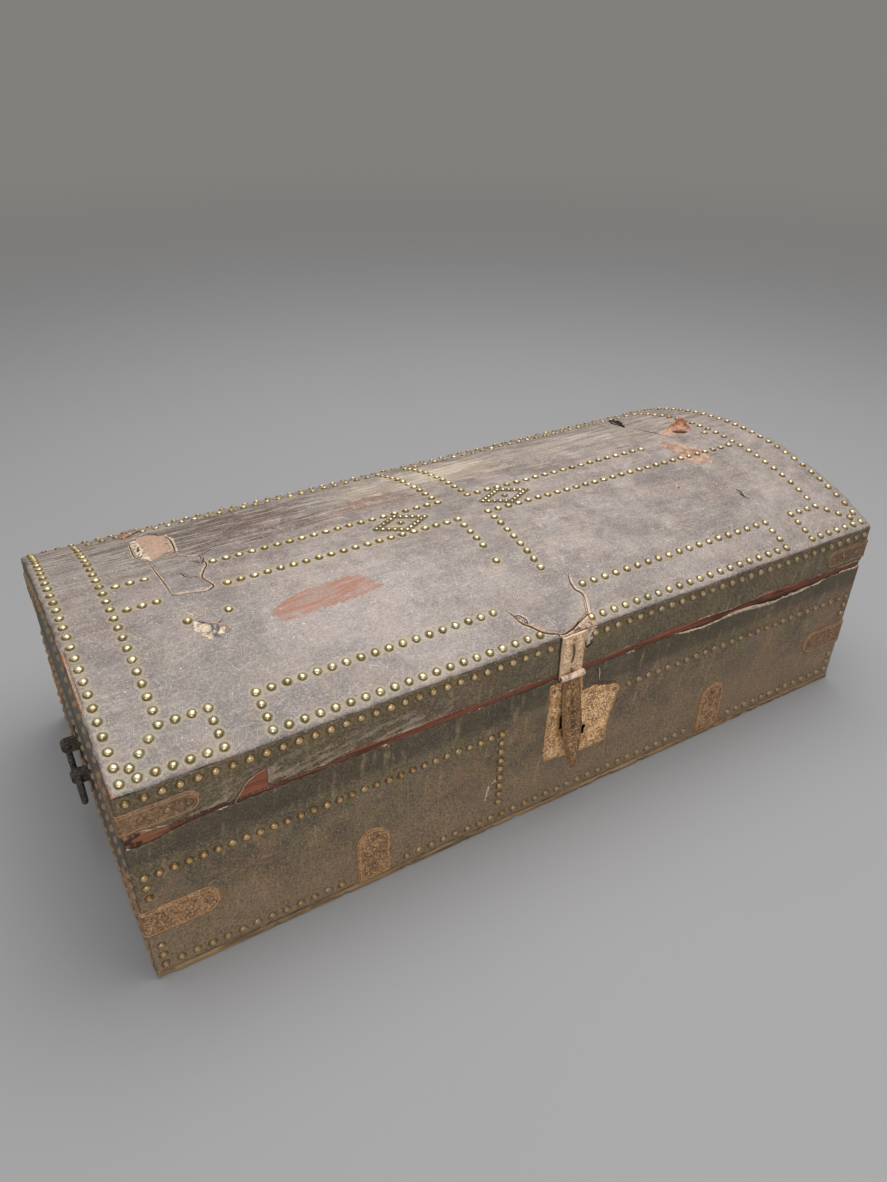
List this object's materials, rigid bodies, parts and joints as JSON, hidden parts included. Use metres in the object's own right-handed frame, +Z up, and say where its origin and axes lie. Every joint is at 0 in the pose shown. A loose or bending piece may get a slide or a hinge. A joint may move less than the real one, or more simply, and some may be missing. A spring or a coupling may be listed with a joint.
{
  "type": "studded trunk",
  "caption": "Long dome-topped trunk of boards under worn leather, with rows of domed brass nails, iron corner straps, a front hasp and lock plate, back hinges and end handles.",
  "frame": {"origin": "middle of the underside of the floor board", "axes": "+X along the trunk's length, to the right as seen from the front; +Y from the front to the back, so the hasp side faces -Y; +Z up"},
  "size_m": [1.146, 0.553, 0.3477],
  "materials": {
    "lid_leather": "worn matt hide, brown-black going grey, scuffed and torn",
    "body_leather": "worn matt hide, dark olive brown",
    "board_wood": "bare, red-brown",
    "floor_wood": "bare, tan at the rim",
    "strap_iron": "evenly rusted, tan-brown, granular",
    "lock_iron": "flaking orange-tan rust",
    "hasp_iron": "dark brown rust",
    "handle_iron": "black, dull",
    "brass_nail": "tarnished, bright on the crowns",
    "iron_nail": "rusted"
  },
  "bodies": {
    "trunk_body": {"back_board": "board_wood", "back_leather": "body_leather", "body_back_nails": "brass_nail", "body_end_nails": "brass_nail", "body_front_nails": "brass_nail", "body_iron_nails": "iron_nail", "body_left_back_strap": "strap_iron", "body_left_front_strap": "strap_iron", "body_right_back_strap": "strap_iron", "body_right_front_strap": "strap_iron", "floor_board": "floor_wood", "front_board": "board_wood", "front_leather": "body_leather", "front_lip": "board_wood", "hinge_pins": "strap_iron", "left_end_board": "board_wood", "left_end_leather": "body_leather", "left_foot_strap": "strap_iron", "left_handle_eyes": "handle_iron", "left_hinge_body_leaf": "strap_iron", "lock_case": "lock_iron", "lock_plate": "lock_iron", "right_end_board": "board_wood", "right_end_leather": "body_leather", "right_foot_strap": "strap_iron", "right_handle_eyes": "handle_iron", "right_hinge_body_leaf": "strap_iron"},
    "lid": {"hasp_leaf": "hasp_iron", "hasp_pin": "hasp_iron", "left_hinge_lid_leaf": "strap_iron", "lid_back_leather": "lid_leather", "lid_back_rail": "board_wood", "lid_border_nails": "brass_nail", "lid_crest_nails": "brass_nail", "lid_edge_nails": "brass_nail", "lid_field_nails": "brass_nail", "lid_front_leather": "lid_leather", "lid_front_rail": "board_wood", "lid_iron_nails": "iron_nail", "lid_left_back_strap": "strap_iron", "lid_left_board": "board_wood", "lid_left_front_strap": "strap_iron", "lid_left_leather": "lid_leather", "lid_plank_1": "board_wood", "lid_plank_2": "board_wood", "lid_plank_3": "board_wood", "lid_plank_4": "board_wood", "lid_plank_5": "board_wood", "lid_right_back_strap": "strap_iron", "lid_right_board": "board_wood", "lid_right_front_strap": "strap_iron", "lid_right_leather": "lid_leather", "lid_small_nails": "brass_nail", "lid_top_leather": "lid_leather", "right_hinge_lid_leaf": "strap_iron"},
    "hasp": {"hasp_blade": "hasp_iron"},
    "left_handle": {"left_handle_bail": "handle_iron"},
    "right_handle": {"right_handle_bail": "handle_iron"},
    "lock_bolt": {"lock_bolt": "lock_iron"}
  },
  "joints": [
    {"name": "lid_swing", "type": "hinge", "parent": "trunk_body", "child": "lid", "pos_m": [0, 0.2628, 0.22215], "axis": [-1, 0, 0], "range_deg": [0, 105]},
    {"name": "hasp_swing", "type": "hinge", "parent": "lid", "child": "hasp", "pos_m": [0.002, -0.262, 0.22], "axis": [-1, 0, 0], "range_deg": [-8.7, 160]},
    {"name": "left_handle_swing", "type": "hinge", "parent": "trunk_body", "child": "left_handle", "pos_m": [-0.565, 0, 0.128], "axis": [0, 1, 0], "range_deg": [-12, 150]},
    {"name": "right_handle_swing", "type": "hinge", "parent": "trunk_body", "child": "right_handle", "pos_m": [0.565, 0, 0.128], "axis": [0, -1, 0], "range_deg": [-12, 150]},
    {"name": "lock_bolt_slide", "type": "slide", "parent": "trunk_body", "child": "lock_bolt", "axis": [-1, 0, 0], "range_m": [0, 0.012]}
  ]
}
